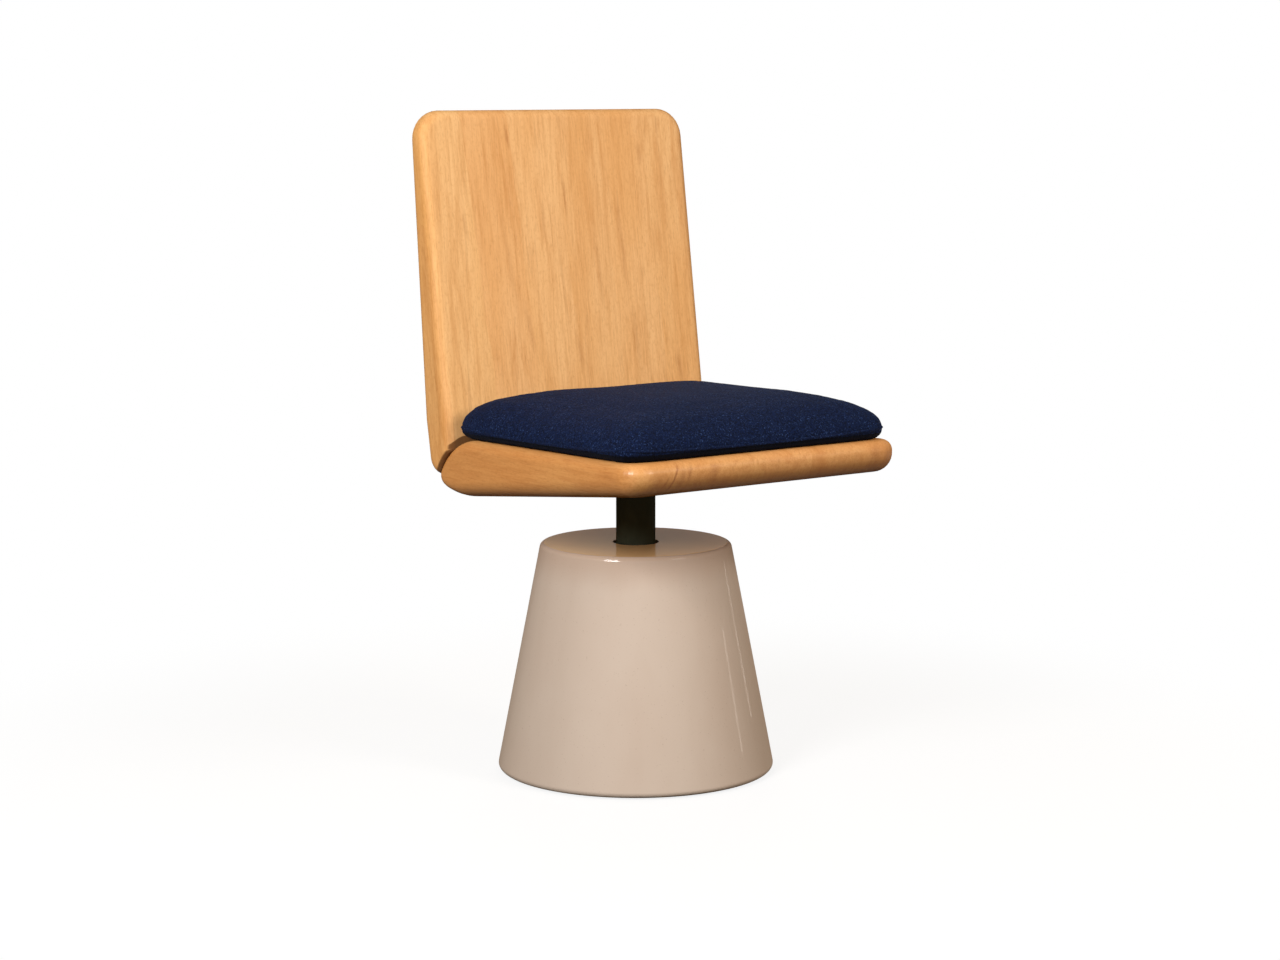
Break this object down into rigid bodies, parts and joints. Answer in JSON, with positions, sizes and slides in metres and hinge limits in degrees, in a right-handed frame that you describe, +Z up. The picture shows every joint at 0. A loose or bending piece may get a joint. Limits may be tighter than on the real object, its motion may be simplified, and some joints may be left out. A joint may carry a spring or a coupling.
{
  "type": "outdoor swivel chair",
  "caption": "Outdoor chair: a wedge-shaped timber seat coped into a leaning timber back, turning on a black post in a glazed ceramic pedestal, with a loose seat pad",
  "frame": {"origin": "on the floor, on the axis of the pedestal and post", "axes": "+Z up, -Y the way a sitter faces, +X to the sitter's left"},
  "size_m": [0.4, 0.453, 0.802],
  "materials": {
    "glaze": "gloss glaze, warm taupe",
    "timber": "oiled, honey coloured hardwood",
    "dowel_wood": "plain hardwood rod",
    "wool": "navy melange, thick and matt",
    "black_paint": "satin black powder coat",
    "plate_steel": "grey coated steel",
    "spindle_steel": "turned steel",
    "screw_steel": "stainless steel",
    "brass": "machined brass",
    "bronze": "oiled bearing bronze",
    "bush_plastic": "natural acetal",
    "rubber": "black rubber"
  },
  "bodies": {
    "base": {"base_shell": "glaze", "rim_gasket": "rubber", "rim_inserts": "brass", "base_plate": "plate_steel", "plate_screws": "screw_steel", "glides": "rubber", "glide_studs": "screw_steel", "spindle": "spindle_steel", "flange_bolts": "screw_steel", "thrust_washer": "bronze", "retaining_washer": "screw_steel", "retaining_bolt": "screw_steel"},
    "swivel": {"post_tube": "black_paint", "lower_bush": "bush_plastic", "upper_bush": "bush_plastic", "seat_plate": "black_paint", "seat_inserts": "brass", "seat_screws": "screw_steel", "seat_panel": "timber", "back_panel": "timber", "joint_bolts": "screw_steel", "joint_washers": "screw_steel", "joint_inserts": "brass", "joint_dowels": "dowel_wood", "joint_plugs": "timber"},
    "cushion": {"cushion_pad": "wool"}
  },
  "joints": [
    {"name": "seat_swivel", "type": "hinge", "parent": "base", "child": "swivel", "pos_m": [0, 0, 0], "axis": [0, 0, 1], "continuous": true},
    {"name": "cushion_lift", "type": "slide", "parent": "swivel", "child": "cushion", "axis": [0, 0, 1], "range_m": [0, 0.45]}
  ]
}
